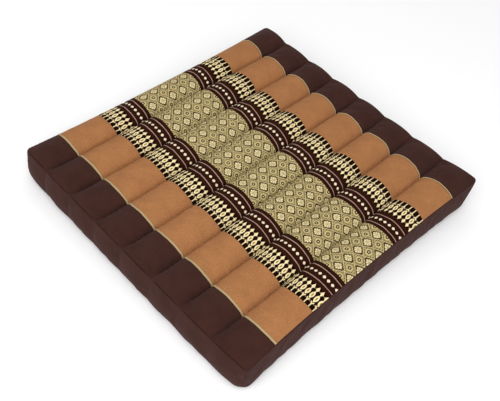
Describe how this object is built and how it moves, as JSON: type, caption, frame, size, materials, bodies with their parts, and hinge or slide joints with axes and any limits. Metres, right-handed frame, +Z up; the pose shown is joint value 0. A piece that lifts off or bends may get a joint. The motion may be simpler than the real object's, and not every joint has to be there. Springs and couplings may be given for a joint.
{
  "type": "zabuton",
  "caption": "Square channel-stitched seat cushion for the floor: stuffed tubes side by side under a pieced cotton top with a woven brocade panel.",
  "frame": {"origin": "middle of the bounding box, on the surface that the cushion lies on", "axes": "+Z up, +Y along the stuffed tubes towards the back end, +X across the tubes towards the right side"},
  "size_m": [0.4874, 0.528, 0.0655],
  "materials": {
    "brown_cotton": "plain woven cotton, dark red-brown, matt",
    "tan_cotton": "plain woven cotton, tan with a fine slub, matt",
    "gold_cotton": "folded strip of smooth pale gold cotton, slight sheen",
    "brocade": "brocade with a cream lattice on olive and near-black, raised threads, slight sheen"
  },
  "bodies": {
    "root": {"cushion_body": "brown_cotton", "side_band_front": "brown_cotton", "side_band_back": "brown_cotton", "side_band_left": "brown_cotton", "side_band_right": "brown_cotton", "end_strip_front": "brown_cotton", "end_strip_back": "brown_cotton", "gold_edge_front": "gold_cotton", "gold_edge_back": "gold_cotton", "tan_strip_front": "tan_cotton", "tan_strip_back": "tan_cotton", "woven_panel": "brocade"}
  },
  "joints": []
}
